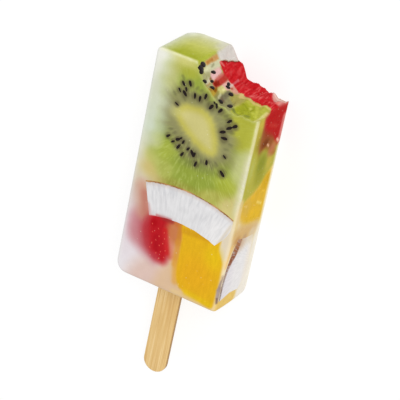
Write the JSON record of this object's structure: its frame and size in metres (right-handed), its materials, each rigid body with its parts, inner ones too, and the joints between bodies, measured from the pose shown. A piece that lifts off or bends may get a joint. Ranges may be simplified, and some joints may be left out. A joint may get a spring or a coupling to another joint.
{
  "type": "fruit ice lolly",
  "caption": "Tapered block of milky fruit ice on a flat wooden stick, with frozen slices of kiwi, coconut, strawberry and mango at its faces and a bite out of the tip.",
  "frame": {"origin": "on the surface the lolly lies on, under the middle of the whole lolly with its stick", "axes": "+Z out of the front face, +Y from the stick to the bitten tip, +X to the right seen from the front with the tip up"},
  "size_m": [0.0442, 0.137, 0.028],
  "materials": {
    "milky_ice": "milky frozen juice, smooth and slightly wet, tinted by the fruit below it",
    "kiwi_flesh": "wet green kiwi flesh with fine pale rays, a pale core and a ring of black seeds",
    "coconut_flesh": "white fibrous coconut flesh with a thin brown rind",
    "strawberry_flesh": "wet red strawberry flesh with small yellow pips",
    "mango_flesh": "smooth yellow-orange mango flesh",
    "stick_wood": "bare light wood with fine lengthwise grain"
  },
  "bodies": {
    "root": {"ice_body": "milky_ice", "kiwi": "kiwi_flesh", "coconut_front": "coconut_flesh", "coconut_side": "coconut_flesh", "strawberry_front": "strawberry_flesh", "strawberry_back": "strawberry_flesh", "mango_front": "mango_flesh", "mango_side": "mango_flesh", "mango_sliver": "mango_flesh", "stick": "stick_wood"}
  },
  "joints": []
}
